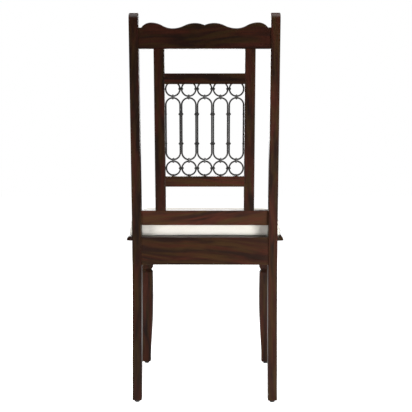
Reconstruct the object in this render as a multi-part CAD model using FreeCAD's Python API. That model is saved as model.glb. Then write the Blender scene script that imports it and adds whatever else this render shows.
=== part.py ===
import FreeCAD, Part
import math
import os

# Tall-back dining chair: stained hardwood frame, black iron grille in the back, loose seat cushion.
# Millimetres. +Z up, the sitter faces -Y, +X is the sitter's left.
# Built from the back face of the rear posts at y = 0, then centred on its own box.

V = FreeCAD.Vector

# Overall
overall_height = 1058.0
width_over_posts = 399.5
glide_height = 7.0

# Rear posts
post_width = 25.0
post_depth = 38.0
post_top_depth = 26.0
post_top_round = 20.0
post_foot_depth = 28.0
post_foot_kick = 12.0
bend_low_height = 260.0
bend_height = 455.0
rake_degrees = 6.8
bend_low_radius = 900.0
bend_radius = 700.0
edge_ease = 1.5

# Front legs
front_leg_spacing = 395.0
leg_reach = 416.0
leg_block = 42.0
leg_neck = 40.6
leg_swell = 44.8
leg_foot = 26.8
leg_swell_height = 184.0
leg_ankle_height = 34.0
leg_swell_radius = 1800.0
leg_ankle_radius = 600.0
groove_height = 312.0
groove_depth = 5.4
groove_width = 14.0

# Seat frame
apron_thickness = 22.0
apron_height = 74.0
apron_inset = 3.0
rear_apron_base = 381.5
rear_apron_height = 76.5
board_top = 458.0
board_thickness = 13.0
board_rear_width = 441.0
board_front_overhang = 14.0
board_corner_radius = 18.0
ovolo_radius = 12.0
ovolo_steps = 3
board_gap = 0.5
cleat_length = 240.0
cleat_size = 18.0
block_leg = 42.0
block_height = 32.0
block_drop = 4.0

# Back frame, measured along the rake
rail_thickness = 20.0
rail_ease = 1.5
stile_width = 28.0
stile_spacing = 242.5
low_rail_lift = 34.1
low_rail_height = 40.8
mid_rail_height = 28.6
lower_frame_gap = 66.0
upper_frame_gap = 63.8
crest_drop = 93.7

# Scalloped top edge of the crest rail, out from the middle and up from its lower edge
crest_inner_peak = 25.3
crest_inner_rise = 66.6
crest_inner_radius = 64.0
crest_valley = 84.3
crest_valley_rise = 53.0
crest_outer_peak = 141.3
crest_outer_rise = 68.0
crest_outer_radius = 62.6
crest_dip = 167.0
crest_shoulder_radius = 31.9

# Iron grille
columns = 5
bar_width = 4.2
bar_depth = 5.0
bar_gap = 0.3
side_gap = 0.5
ring_seat_gap = 0.3
loop_collar_share = 0.31
collar_long = 14.0
collar_short = 7.2
collar_waist = 9.4
collar_depth = 9.6
collar_end_depth = 6.6
collar_gap = 0.1
ring_housing = 9.0
pin_size = 2.4
pin_length = 14.0
pin_head = 1.0

# Joints and fixings
tenon_length = 16.0
stile_tenon_length = 12.0
tenon_thickness = 9.0
tenon_shoulder = 6.0
joint_gap = 0.15
screw_shank = 4.0
screw_length = 34.0
screw_head_diameter = 8.0
screw_head_height = 3.0
level_screw_share = 0.5
seat_screw_length = 46.0
seat_screw_share = 0.25
seat_screw_inset = 12.0
cleat_screw_length = 30.0

# Glides
glide_diameter = 15.0
glide_pin_diameter = 4.0
glide_pin_length = 14.0
glide_bevel = 1.2

# Cushion
cushion_gap = 0.4
cushion_inset = 3.0
cushion_rear_gap = 1.0
cushion_edge_height = 52.0
cushion_crown = 8.0
cushion_corner = 34.0
cushion_draw_in = 3.5
cushion_low_inset = 2.5
cushion_low_height = 6.0
cushion_side_inset = 2.5
cushion_shoulder_inset = 12.0
cushion_shoulder_drop = 8.4
cushion_cap_inset = 30.0

# Worked out from the driving sizes
rake = math.radians(rake_degrees)
post_x = (width_over_posts - post_width) / 2.0
post_inner_x = post_x - post_width / 2.0
front_x = front_leg_spacing / 2.0
board_base = board_top - board_thickness
bend_y = -post_depth / 2.0
back_round = min(post_top_round, post_top_depth - edge_ease)
front_round = post_top_depth - back_round
crown_lead = back_round - post_top_depth / 2.0
crown_lift = crown_lead * math.sin(rake) + front_round * (1.0 - math.cos(rake))
post_length = (overall_height - bend_height - crown_lift) / math.cos(rake)
apron_base = board_base - apron_height
leg_rear_y = -leg_reach + leg_block / 2.0
leg_front_y = -leg_reach - leg_block / 2.0
rear_apron_back_y = -apron_inset
rear_apron_front_y = rear_apron_back_y - apron_thickness
board_rear_half = board_rear_width / 2.0
board_front_half = front_x + leg_block / 2.0 + board_front_overhang
board_rear_y = -post_depth - board_gap
board_front_y = leg_front_y - board_front_overhang
stile_x = stile_spacing / 2.0
stile_inner_x = stile_x - stile_width / 2.0

# Heights in the back, up the rake from the bend
low_rail_base = (board_top + low_rail_lift - bend_height) / math.cos(rake)
low_rail_top = low_rail_base + low_rail_height
lower_mid_base = low_rail_top + lower_frame_gap
lower_mid_top = lower_mid_base + mid_rail_height
crest_base = post_length - crest_drop
upper_mid_base = crest_base - upper_frame_gap - mid_rail_height
grille_pitch = (2.0 * stile_inner_x - 2.0 * side_gap) / columns
ring_radius = (grille_pitch - bar_gap) / 2.0
bottom_ring_height = lower_mid_top + ring_seat_gap + ring_radius
top_ring_height = upper_mid_base + ring_housing - ring_seat_gap - ring_radius
loop_base = bottom_ring_height + ring_radius + bar_gap
loop_top = top_ring_height - ring_radius - bar_gap
loop_middle = (loop_base + loop_top) / 2.0
loop_collar_offset = (loop_top - loop_base - 2.0 * ring_radius) * loop_collar_share


def box(x0, x1, y0, y1, z0, z1):
    """Box between two opposite corners."""
    return Part.makeBox(x1 - x0, y1 - y0, z1 - z0, V(x0, y0, z0))


def grown(x0, x1, y0, y1, z0, z1):
    """The mortise for a tenon box: the same box with the glue gap on every side."""
    return box(x0 - joint_gap, x1 + joint_gap, y0 - joint_gap, y1 + joint_gap,
               z0 - joint_gap, z1 + joint_gap)


def rounded_outline(corners, to_point):
    """Closed wire through corners (a, b, radius), each radius a tangent arc between its two lines."""
    edges = []
    ends = []
    count = len(corners)
    for index in range(count):
        here = V(corners[index][0], corners[index][1], 0)
        radius = corners[index][2]
        before = V(corners[index - 1][0], corners[index - 1][1], 0)
        after = V(corners[(index + 1) % count][0], corners[(index + 1) % count][1], 0)
        if radius == 0:
            ends.append((here, here, here))
            continue
        back = (before - here).normalize()
        on = (after - here).normalize()
        half = back.getAngle(on) / 2.0
        reach = radius / math.tan(half)
        middle = (back + on).normalize() * (radius / math.sin(half) - radius)
        ends.append((here + back * reach, here + middle, here + on * reach))
    for index in range(count):
        start, middle, end = ends[index]
        if (end - start).Length > 1e-6:
            edges.append(Part.Arc(to_point(start), to_point(middle), to_point(end)).toShape())
        follow = ends[(index + 1) % count][0]
        if (follow - end).Length > 1e-6:
            edges.append(Part.LineSegment(to_point(end), to_point(follow)).toShape())
    return Part.Wire(edges)


def side_point(flat):
    """A corner (y, z) on the plane x = 0."""
    return V(0, flat.x, flat.y)


def front_point(flat):
    """A corner (x, z) on the plane y = 0."""
    return V(flat.x, 0, flat.y)


def plan_point(flat):
    """A corner (x, y) on the plane z = 0."""
    return V(flat.x, flat.y, 0)


def rake_point(depth, height):
    """(y, z) of a point given by its depth behind the post's centre line and its height up the rake."""
    y = bend_y + height * math.sin(rake) + depth * math.cos(rake)
    z = bend_height + height * math.cos(rake) - depth * math.sin(rake)
    return y, z


def raked(shape):
    """Lean a piece that was drawn upright (z up the rake, y = 0 on the posts' centre line)."""
    leaned = shape.copy()
    leaned.rotate(V(0, 0, 0), V(1, 0, 0), -rake_degrees)
    leaned.translate(V(0, bend_y, bend_height))
    return leaned


def mirrored(shape):
    return shape.mirror(V(0, 0, 0), V(1, 0, 0))


def eased(shape, pick, radius):
    """Round the edges that the test picks."""
    return shape.makeFillet(radius, [edge for edge in shape.Edges if pick(edge)])


def long_edges(shape, axis_vector, share=0.9):
    """Straight edges that run along an axis for most of the piece's length."""
    length = max(edge.Length for edge in shape.Edges)

    def pick(edge):
        along = edge.Vertexes[-1].Point - edge.Vertexes[0].Point
        return edge.Length > share * length and abs(along.normalize().dot(axis_vector)) > 0.99
    return pick


def bar_rail(half_length, thickness, z0, z1, ease):
    """Rail along X, centred in depth, with its four long edges eased."""
    rail = box(-half_length, half_length, -thickness / 2.0, thickness / 2.0, z0, z1)
    return eased(rail, long_edges(rail, V(1, 0, 0)), ease)


def end_tenons(half_length, length, thickness, z0, z1, maker):
    """Both end tenons of a rail along X, made as tenons or as mortises."""
    ends = []
    for side in (-1, 1):
        near = half_length
        far = half_length + length
        low_x = min(side * near, side * far)
        ends.append(maker(low_x, low_x + length, -thickness / 2.0, thickness / 2.0, z0, z1))
    return ends


# Rails of the back, drawn upright and leaned with the posts

def wave_turn(peak, rise, radius, valley, valley_rise):
    """Point where the peak's circle meets the valley's circle, each level at its own turning point."""
    across = valley - peak
    drop = rise - valley_rise
    both = (across ** 2 + drop ** 2) / (2.0 * drop)
    share = radius / both
    return peak + across * share, rise - drop * share


def arc_middle(x0, z0, x1, z1, level_x, level_z, sign):
    """Point half way round the arc between two points, on the circle that is level at level_x."""
    far_x, far_z = (x0, z0) if abs(x0 - level_x) > abs(x1 - level_x) else (x1, z1)
    radius = ((far_x - level_x) ** 2 + (far_z - level_z) ** 2) / (2.0 * abs(far_z - level_z))
    middle_x = (x0 + x1) / 2.0
    fall = radius - math.sqrt(radius ** 2 - (middle_x - level_x) ** 2)
    return middle_x, level_z + sign * fall


def shoulder_rise():
    """Height of the short flat beside the post, where the outer shoulder ends."""
    run = crest_dip - crest_outer_peak
    return crest_outer_rise - crest_shoulder_radius + math.sqrt(crest_shoulder_radius ** 2 - run ** 2)


def crest_section(inset, y):
    """Scalloped edge of tangent arcs: a cusp at the middle, a small wave, a valley and a lobe each side.

    The inset version keeps every arc's centre, so it runs parallel to the full outline.
    """
    inner_radius = crest_inner_radius - inset
    shoulder_radius = crest_shoulder_radius - inset
    inner = (crest_inner_peak, crest_inner_rise - inset)
    valley = (crest_valley, crest_valley_rise - inset)
    outer = (crest_outer_peak, crest_outer_rise - inset)
    cusp = inner[1] - inner_radius + math.sqrt(inner_radius ** 2 - crest_inner_peak ** 2)
    turn_in = wave_turn(*inner, inner_radius, *valley)
    turn_out = wave_turn(*outer, crest_outer_radius - inset, *valley)
    dip_z = shoulder_rise() - inset
    drop = shoulder_radius - outer[1] + dip_z
    dip = (crest_outer_peak + math.sqrt(shoulder_radius ** 2 - drop ** 2), dip_z)
    steps = [((0.0, cusp), inner, inner, -1), (inner, turn_in, inner, -1), (turn_in, valley, valley, 1),
             (valley, turn_out, valley, 1), (turn_out, outer, outer, -1), (outer, dip, outer, -1)]

    def at(side, x, z):
        return V(side * x, y, crest_base + z)
    halves = []
    for side in (-1, 1):
        edges = []
        for start, end, level, sign in steps:
            middle = arc_middle(*start, *end, *level, sign)
            points = [at(side, *start), at(side, *middle), at(side, *end)]
            edges.append(Part.Arc(*points[::side]).toShape())
        edges.append(line(at(side, *dip), at(side, post_inner_x, dip_z), side))
        edges.append(line(at(side, post_inner_x, dip_z), at(side, post_inner_x, inset), side))
        halves.append(edges[::side])
    bottom = line(at(1, post_inner_x, inset), at(-1, post_inner_x, inset), 1)
    return Part.Wire(halves[1] + [bottom] + halves[0])


def line(start, end, side):
    """Straight edge, turned round for the mirrored half so that the whole wire runs one way."""
    points = [start, end][::side]
    return Part.LineSegment(*points).toShape()


def crest_tenon(maker):
    return end_tenons(post_inner_x, tenon_length, tenon_thickness,
                      crest_base + tenon_shoulder, crest_base + shoulder_rise() - tenon_shoulder, maker)


def low_rail_tenon(maker):
    return end_tenons(post_inner_x, tenon_length, tenon_thickness,
                      low_rail_base + tenon_shoulder, low_rail_top - tenon_shoulder, maker)


def mid_rail_tenon(base, maker):
    return end_tenons(stile_inner_x, stile_tenon_length, tenon_thickness,
                      base + tenon_shoulder, base + mid_rail_height - tenon_shoulder, maker)


def stile_tenons(side, maker):
    """Top and bottom tenons of one stile, in the crest rail and in the low rail."""
    inner = side * stile_x - stile_width / 2.0 + tenon_shoulder
    outer = side * stile_x + stile_width / 2.0 - tenon_shoulder
    half = tenon_thickness / 2.0
    return [maker(inner, outer, -half, half, crest_base, crest_base + stile_tenon_length),
            maker(inner, outer, -half, half, low_rail_top - stile_tenon_length, low_rail_top)]


def make_crest_rail():
    half = rail_thickness / 2.0
    sections = [crest_section(rail_ease, -half), crest_section(0, -half + rail_ease),
                crest_section(0, half - rail_ease), crest_section(rail_ease, half)]
    rail = Part.makeLoft(sections, True, True)
    rail = rail.fuse(crest_tenon(box))
    for side in (-1, 1):
        rail = rail.cut(stile_tenons(side, grown)[0])
    return rail


def make_low_rail():
    rail = bar_rail(post_inner_x, rail_thickness, low_rail_base, low_rail_top, rail_ease)
    rail = rail.fuse(low_rail_tenon(box))
    for side in (-1, 1):
        rail = rail.cut(stile_tenons(side, grown)[1])
    return rail


def make_mid_rail(base):
    rail = bar_rail(stile_inner_x, rail_thickness, base, base + mid_rail_height, rail_ease)
    return rail.fuse(mid_rail_tenon(base, box))


def make_stile(side):
    stile = box(side * stile_x - stile_width / 2.0, side * stile_x + stile_width / 2.0,
                -rail_thickness / 2.0, rail_thickness / 2.0, low_rail_top, crest_base)
    stile = eased(stile, long_edges(stile, V(0, 0, 1)), rail_ease)
    stile = stile.fuse(stile_tenons(side, box))
    for base in (lower_mid_base, upper_mid_base):
        stile = stile.cut(mid_rail_tenon(base, grown))
    return stile


# Iron grille

def make_ring(x, height):
    """Bar bent into a ring, in the plane of the back."""
    outer = Part.makeCylinder(ring_radius, bar_depth, V(x, -bar_depth / 2.0, height), V(0, 1, 0))
    inner = Part.makeCylinder(ring_radius - bar_width, bar_depth, V(x, -bar_depth / 2.0, height), V(0, 1, 0))
    return outer.cut(inner)


def stadium(x, z0, z1, radius):
    """Wire of a long loop: two straight sides and two half-round ends."""
    low = z0 + radius
    high = z1 - radius
    y = -bar_depth / 2.0
    return Part.Wire([
        Part.LineSegment(V(x + radius, y, low), V(x + radius, y, high)).toShape(),
        Part.Arc(V(x + radius, y, high), V(x, y, z1), V(x - radius, y, high)).toShape(),
        Part.LineSegment(V(x - radius, y, high), V(x - radius, y, low)).toShape(),
        Part.Arc(V(x - radius, y, low), V(x, y, z0), V(x + radius, y, low)).toShape()])


def make_loop(x):
    outer = Part.Face(stadium(x, loop_base, loop_top, ring_radius)).extrude(V(0, bar_depth, 0))
    inside = stadium(x, loop_base + bar_width, loop_top - bar_width, ring_radius - bar_width)
    return outer.cut(Part.Face(inside).extrude(V(0, bar_depth, 0)))


def frustum(low, high):
    """Solid between two like four-sided sections, with flat sides."""
    faces = [Part.Face(Part.makePolygon(ring + ring[:1])) for ring in (low, high)]
    for index in range(4):
        follow = (index + 1) % 4
        side = [low[index], low[follow], high[follow], high[index]]
        faces.append(Part.Face(Part.makePolygon(side + side[:1])))
    solid = Part.Solid(Part.Shell(faces))
    solid.fix(1e-7, 1e-7, 1e-7)
    return solid


def collar(x, height, upright, bar_bend):
    """Pointed bead of two frustums with a straight slot for two bars, bent to the radius bar_bend if any."""
    def section(offset, across, deep):
        corners = []
        for sign_a, sign_d in ((-1, -1), (1, -1), (1, 1), (-1, 1)):
            if upright:
                corners.append(V(x + offset, sign_d * deep / 2.0, height + sign_a * across / 2.0))
            else:
                corners.append(V(x + sign_a * across / 2.0, sign_d * deep / 2.0, height + offset))
        return corners
    half = collar_short / 2.0
    middle = section(0, collar_long, collar_depth)
    lower = frustum(section(-half, collar_waist, collar_end_depth), middle)
    upper = frustum(middle, section(half, collar_waist, collar_end_depth))
    bow = bar_bend - bar_width
    spread = bow - math.sqrt(bow ** 2 - half ** 2) if bar_bend else 0.0
    slot = section(-half, bar_gap + 2.0 * (bar_width + spread + collar_gap), bar_depth + 2.0 * collar_gap)
    along = V(collar_short, 0, 0) if upright else V(0, 0, collar_short)
    slot_bar = Part.Face(Part.makePolygon(slot + slot[:1])).extrude(along)
    return lower.fuse(upper).removeSplitter().cut(slot_bar)


def column_x(index):
    return (index - (columns - 1) / 2.0) * grille_pitch


def make_grille():
    """Rings, loops and collars as upright solids by node name."""
    places = [column_x(index) for index in range(columns)]
    bars = {
        "grille_rings_top": Part.makeCompound([make_ring(x, top_ring_height) for x in places]),
        "grille_rings_bottom": Part.makeCompound([make_ring(x, bottom_ring_height) for x in places]),
    }
    for index, x in enumerate(places):
        bars["grille_loop_%d" % (index + 1)] = make_loop(x)
    between = [column_x(index) + grille_pitch / 2.0 for index in range(columns - 1)]
    below_top = top_ring_height - ring_radius - bar_gap / 2.0
    above_bottom = bottom_ring_height + ring_radius + bar_gap / 2.0
    rows = {
        "ring_collars_top": (between, top_ring_height, False, ring_radius),
        "ring_collars_bottom": (between, bottom_ring_height, False, ring_radius),
        "loop_collars_upper": (between, loop_middle + loop_collar_offset, False, 0.0),
        "loop_collars_lower": (between, loop_middle - loop_collar_offset, False, 0.0),
        "link_collars_top": (places, below_top, True, ring_radius),
        "link_collars_bottom": (places, above_bottom, True, ring_radius),
    }
    collars = {}
    for name, (spots, height, upright, bar_bend) in rows.items():
        collars[name] = Part.makeCompound([collar(x, height, upright, bar_bend) for x in spots])
    return bars, collars


def grille_pins():
    """Square pins: down through each bottom ring into the rail, out through the end loops into the stiles."""
    half = pin_size / 2.0
    floor = lower_mid_top + ring_seat_gap + bar_width + pin_head
    pins = [box(x - half, x + half, -half, half, floor - pin_length, floor)
            for x in (column_x(index) for index in range(columns))]
    near = stile_inner_x - side_gap - bar_width - pin_head
    for height in (loop_middle - loop_collar_offset, loop_middle + loop_collar_offset):
        pins.append(box(near, near + pin_length, -half, half, height - half, height + half))
        pins.append(box(-near - pin_length, -near, -half, half, height - half, height + half))
    return Part.makeCompound(pins)


# Rear posts

def cap_arc(side, radius):
    """Quarter round of the post's top, from its face (side 1 the back, -1 the front) up to the crown."""
    points = []
    for degrees in (0, 45, 90):
        turn = math.radians(degrees)
        points.append(V(0, *rake_point(-crown_lead + side * radius * math.cos(turn),
                                       post_length - radius * (1.0 - math.sin(turn)))))
    return Part.Arc(*points[::side]).toShape()


def make_post_blank():
    """Side profile with its kick, seat flat, rake and rolled top, as wide as the post."""
    top_half = post_top_depth / 2.0
    back_top = rake_point(top_half, post_length - back_round)
    front_top = rake_point(-top_half, post_length - front_round)
    foot_back = post_foot_kick
    foot_front = post_foot_kick - post_foot_depth
    corners = [(foot_front, glide_height, 0), (foot_back, glide_height, 0),
               (0, bend_low_height, bend_low_radius), (0, bend_height, bend_radius),
               (back_top[0], back_top[1], 0), (front_top[0], front_top[1], 0),
               (-post_depth, bend_height, bend_radius), (-post_depth, bend_low_height, bend_low_radius)]
    shaft = Part.Face(rounded_outline(corners, side_point)).extrude(V(post_width, 0, 0))
    cap_chord = Part.LineSegment(V(0, *front_top), V(0, *back_top)).toShape()
    cap_arcs = [cap_arc(1, back_round), cap_arc(-1, front_round)]
    cap = Part.Face(Part.Wire(cap_arcs + [cap_chord])).extrude(V(post_width, 0, 0))
    post = shaft.fuse(cap).removeSplitter()
    post.translate(V(post_x - post_width / 2.0, 0, 0))
    return post.makeChamfer(edge_ease, [edge for edge in post.Edges if edge.BoundBox.XLength < 0.01
                                        and edge.BoundBox.ZMax > glide_height + 1])


def rear_apron_tenons(maker):
    middle = (rear_apron_back_y + rear_apron_front_y) / 2.0
    low = rear_apron_base + tenon_shoulder
    high = rear_apron_base + rear_apron_height - tenon_shoulder
    ends = []
    for part in end_tenons(post_inner_x, tenon_length, tenon_thickness, low, high, maker):
        part.translate(V(0, middle, 0))
        ends.append(part)
    return ends


def side_apron_lines():
    """Outer and inner x of the left side apron at its rear end and at its front end."""
    rear_outer = width_over_posts / 2.0 - apron_inset
    front_outer = front_x + leg_block / 2.0 - apron_inset
    return rear_outer, rear_outer - apron_thickness, front_outer, front_outer - apron_thickness


def side_apron_tenons(maker):
    rear_outer, rear_inner, front_outer, front_inner = side_apron_lines()
    rear_middle = (rear_outer + rear_inner) / 2.0
    front_middle = (front_outer + front_inner) / 2.0
    half = tenon_thickness / 2.0
    low = apron_base + tenon_shoulder
    high = board_base - tenon_shoulder
    return [maker(rear_middle - half, rear_middle + half, -post_depth, -post_depth + tenon_length, low, high),
            maker(front_middle - half, front_middle + half, leg_rear_y - tenon_length, leg_rear_y, low, high)]


def front_apron_tenons(maker):
    middle = leg_front_y + apron_inset + apron_thickness / 2.0
    low = apron_base + tenon_shoulder
    high = board_base - tenon_shoulder
    ends = []
    for part in end_tenons(front_x - leg_block / 2.0, tenon_length, tenon_thickness, low, high, maker):
        part.translate(V(0, middle, 0))
        ends.append(part)
    return ends


def hexagon(point, direction, radius, length):
    """Six-sided bar that starts round point and runs along direction."""
    level = V(0, 0, 1).cross(direction)
    first = level.normalize() if level.Length > 0.5 else V(1, 0, 0)
    second = direction.cross(first)
    corners = []
    for step in range(7):
        turn = math.radians(60 * step)
        corners.append(point + first * (radius * math.cos(turn)) + second * (radius * math.sin(turn)))
    return Part.Face(Part.makePolygon(corners)).extrude(direction * length)


def glide_pin(x, y):
    return hexagon(V(x, y, glide_height), V(0, 0, 1), glide_pin_diameter / 2.0, glide_pin_length)


def rear_foot_y():
    return post_foot_kick - post_foot_depth / 2.0


def make_rear_post():
    post = make_post_blank()
    for tenon in crest_tenon(grown) + low_rail_tenon(grown):
        post = post.cut(raked(tenon))
    for tenon in rear_apron_tenons(grown) + side_apron_tenons(grown)[:1]:
        post = post.cut(tenon)
    return post.cut(glide_pin(post_x, rear_foot_y()))


# Seat frame

def make_rear_apron(fixings):
    top = rear_apron_base + rear_apron_height
    apron = bar_rail(post_inner_x, apron_thickness, rear_apron_base, top, rail_ease)
    apron.translate(V(0, (rear_apron_back_y + rear_apron_front_y) / 2.0, 0))
    return apron.fuse(rear_apron_tenons(box)).cut(fixings)


def make_front_apron(fixings):
    apron = bar_rail(front_x - leg_block / 2.0, apron_thickness, apron_base, board_base, rail_ease)
    apron.translate(V(0, leg_front_y + apron_inset + apron_thickness / 2.0, 0))
    return apron.fuse(front_apron_tenons(box)).cut(fixings)


def make_side_apron(fixings):
    rear_outer, rear_inner, front_outer, front_inner = side_apron_lines()
    corners = [V(rear_outer, -post_depth, apron_base), V(rear_inner, -post_depth, apron_base),
               V(front_inner, leg_rear_y, apron_base), V(front_outer, leg_rear_y, apron_base)]
    apron = Part.Face(Part.makePolygon(corners + corners[:1])).extrude(V(0, 0, apron_height))
    apron = eased(apron, lambda edge: edge.BoundBox.YLength > 0.9 * (-leg_rear_y - post_depth), rail_ease)
    return apron.fuse(side_apron_tenons(box)).cut(fixings)


def leg_profile(to_point):
    """Square block, V groove, slight swell and taper to the foot, the same on all four sides."""
    block = leg_block / 2.0
    neck = leg_neck / 2.0
    waist = block - groove_depth
    half_groove = groove_width / 2.0
    right = [(block, board_base, 0), (block, groove_height + half_groove, 0), (waist, groove_height, 0),
             (neck, groove_height - half_groove, 0), (leg_swell / 2.0, leg_swell_height, leg_swell_radius),
             (leg_foot / 2.0, leg_ankle_height, leg_ankle_radius), (leg_foot / 2.0, glide_height, 0)]
    left = [(-across, height, radius) for across, height, radius in reversed(right)]
    return Part.Face(rounded_outline(right + left, to_point))


def make_front_leg(fixings):
    across = leg_profile(front_point).extrude(V(0, leg_block * 2.0, 0))
    across.translate(V(0, -leg_block, 0))
    along = leg_profile(side_point).extrude(V(leg_block * 2.0, 0, 0))
    along.translate(V(-leg_block, 0, 0))
    leg = across.common(along)
    leg.translate(V(front_x, -leg_reach, 0))
    for tenon in front_apron_tenons(grown) + side_apron_tenons(grown)[1:]:
        leg = leg.cut(tenon)
    return leg.cut(glide_pin(front_x, -leg_reach)).cut(fixings)


def plan_corners(rear_y, front_y, inset):
    """Four corners between two depths, on the board's slanting edge lines moved in by inset."""
    spread = (board_front_half - board_rear_half) / (board_rear_y - board_front_y)
    rear_half, front_half = [board_rear_half + (board_rear_y - y) * spread - inset * math.hypot(1.0, spread)
                             for y in (rear_y, front_y)]
    return [V(rear_half, rear_y, 0), V(front_half, front_y, 0), V(-front_half, front_y, 0),
            V(-rear_half, rear_y, 0)]


def board_section(inset, z):
    corners = plan_corners(board_rear_y - inset, board_front_y + inset, inset)
    wire = rounded_outline([(spot.x, spot.y, board_corner_radius - inset) for spot in corners], plan_point)
    wire.translate(V(0, 0, z))
    return wire


def make_seat_board(fixings):
    """Quarter-round moulding on all sides, and a plain tongue between the posts up to the rear apron."""
    spring = board_top - ovolo_radius
    sections = [board_section(0, board_base)]
    for step in range(ovolo_steps + 1):
        turn = math.radians(90.0 * step / ovolo_steps)
        inset = ovolo_radius * (1.0 - math.cos(turn))
        sections.append(board_section(inset, spring + ovolo_radius * math.sin(turn)))
    board = Part.makeLoft(sections, True, True)
    tongue_half = post_inner_x - board_gap
    tongue = box(-tongue_half, tongue_half, board_rear_y - board_corner_radius, rear_apron_front_y,
                 board_base, board_top)
    return board.fuse(tongue).removeSplitter().cut(fixings)


def make_cleat(fixings):
    cleat = box(-cleat_length / 2.0, cleat_length / 2.0, rear_apron_front_y - cleat_size, rear_apron_front_y,
                board_base - cleat_size, board_base)
    return cleat.cut(fixings)


def side_inner_x(y):
    """Inner face of the left side apron at a given y."""
    rear_outer, rear_inner, front_outer, front_inner = side_apron_lines()
    share = (y + post_depth) / (leg_rear_y + post_depth)
    return rear_inner + (front_inner - rear_inner) * share


def block_solid(corners):
    top = board_base - block_drop
    wire = Part.makePolygon([V(x, y, top - block_height) for x, y in corners + corners[:1]])
    return Part.Face(wire).extrude(V(0, 0, block_height))


def front_block_corners():
    face_y = leg_front_y + apron_inset + apron_thickness
    leg_x = front_x - leg_block / 2.0
    near_y = leg_rear_y + block_leg
    return [(leg_x - block_leg, face_y), (leg_x, face_y), (leg_x, leg_rear_y),
            (side_inner_x(leg_rear_y), leg_rear_y), (side_inner_x(near_y), near_y)]


def rear_block_corners():
    far_y = -post_depth - block_leg
    return [(post_inner_x - block_leg, rear_apron_front_y), (post_inner_x, rear_apron_front_y),
            (side_inner_x(-post_depth), -post_depth), (side_inner_x(far_y), far_y)]


def screw(point, direction, length):
    """Hexagon-head wood screw, drawn six-sided: its head ends at point, its shank runs along direction."""
    head = hexagon(point - direction * screw_head_height, direction, screw_head_diameter / 2.0,
                   screw_head_height)
    return head.fuse(hexagon(point, direction, screw_shank / 2.0, length))


def on_open_face(corners, share, height):
    """Point on a block's long open face, a share of the way along it."""
    start = V(corners[0][0], corners[0][1], height)
    end = V(corners[-1][0], corners[-1][1], height)
    return start + (end - start) * share


def block_screws():
    """One level screw through each left block: the front one into the leg, the rear one into the apron."""
    middle_z = board_base - block_drop - block_height / 2.0
    into_leg = V(front_x - leg_block / 2.0, leg_rear_y, middle_z)
    front = on_open_face(front_block_corners(), level_screw_share, middle_z)
    rear = on_open_face(rear_block_corners(), level_screw_share, middle_z)
    apron_run = V(side_inner_x(-post_depth) - side_inner_x(leg_rear_y), -post_depth - leg_rear_y, 0)
    into_apron = apron_run.cross(V(0, 0, 1)).normalize()
    return [screw(front, (into_leg - front).normalize(), screw_length), screw(rear, into_apron, screw_length)]


def seat_screws():
    """One upright screw through each left block into the board, clear of the level one."""
    under = board_base - block_drop - block_height
    screws = []
    for corners, toward in ((front_block_corners(), V(1, -1, 0)), (rear_block_corners(), V(1, 1, 0))):
        place = on_open_face(corners, seat_screw_share, under) + toward.normalize() * seat_screw_inset
        screws.append(screw(place, V(0, 0, 1), seat_screw_length))
    return screws


def cleat_screws():
    middle_z = board_base - cleat_size / 2.0
    face_y = rear_apron_front_y - cleat_size
    places = [-cleat_length / 2.0 + cleat_size, cleat_length / 2.0 - cleat_size]
    return [screw(V(x, face_y, middle_z), V(0, 1, 0), cleat_screw_length) for x in places]


def make_glide(x, y):
    """Round nylon glide, bevelled where it meets the floor, with its pin in the foot."""
    disc = Part.makeCylinder(glide_diameter / 2.0, glide_height, V(x, y, 0))
    disc = disc.makeChamfer(glide_bevel, [edge for edge in disc.Edges if edge.BoundBox.ZMax < 0.01])
    return disc.fuse(glide_pin(x, y))


def glide_pair(x, y):
    return Part.makeCompound([make_glide(x, y), make_glide(-x, y)])


# Cushion

def circles_meeting(first, first_reach, second, second_reach, near):
    """The point nearest to near at given distances from two centres."""
    span = second - first
    along = (span.Length ** 2 + first_reach ** 2 - second_reach ** 2) / (2.0 * span.Length)
    off = math.sqrt(first_reach ** 2 - along ** 2)
    foot = first + span * (along / span.Length)
    side = V(0, 0, 1).cross(span) * (off / span.Length)
    return min((foot + side, foot - side), key=lambda spot: (spot - near).Length)


def cushion_circles():
    """In plan: centre and radius of the four drawn-in sides, and the centres of the four rounded corners."""
    corners = plan_corners(-post_depth - cushion_rear_gap, board_front_y + cushion_inset, cushion_inset)
    sides = []
    for index in range(4):
        chord = corners[(index + 1) % 4] - corners[index]
        radius = chord.Length ** 2 / (8.0 * cushion_draw_in) + cushion_draw_in / 2.0
        inward = chord.cross(V(0, 0, 1)).normalize()
        sides.append((corners[index] + chord * 0.5 + inward * (cushion_draw_in - radius), radius))
    knuckles = []
    for index in range(4):
        before, before_radius = sides[index - 1]
        after, after_radius = sides[index]
        knuckles.append(circles_meeting(before, before_radius + cushion_corner, after,
                                        after_radius + cushion_corner, corners[index]))
    return sides, knuckles


def arc_about(centre, start, end):
    middle = centre + ((start + end) * 0.5 - centre).normalize() * (start - centre).Length
    return Part.Arc(start, middle, end).toShape()


def cushion_section(sides, knuckles, inset, z):
    """Parallel outline: every side and corner keeps its centre, so all the arcs stay tangent."""
    def touch(side, knuckle):
        centre, radius = side
        return centre + (knuckle - centre).normalize() * (radius + inset)
    edges = []
    for index in range(4):
        knuckle = knuckles[index]
        follow = knuckles[(index + 1) % 4]
        start = touch(sides[index], knuckle)
        edges.append(arc_about(knuckle, touch(sides[index - 1], knuckle), start))
        edges.append(arc_about(sides[index][0], start, touch(sides[index], follow)))
    wire = Part.Wire(edges)
    wire.translate(V(0, 0, z))
    return wire


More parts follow.
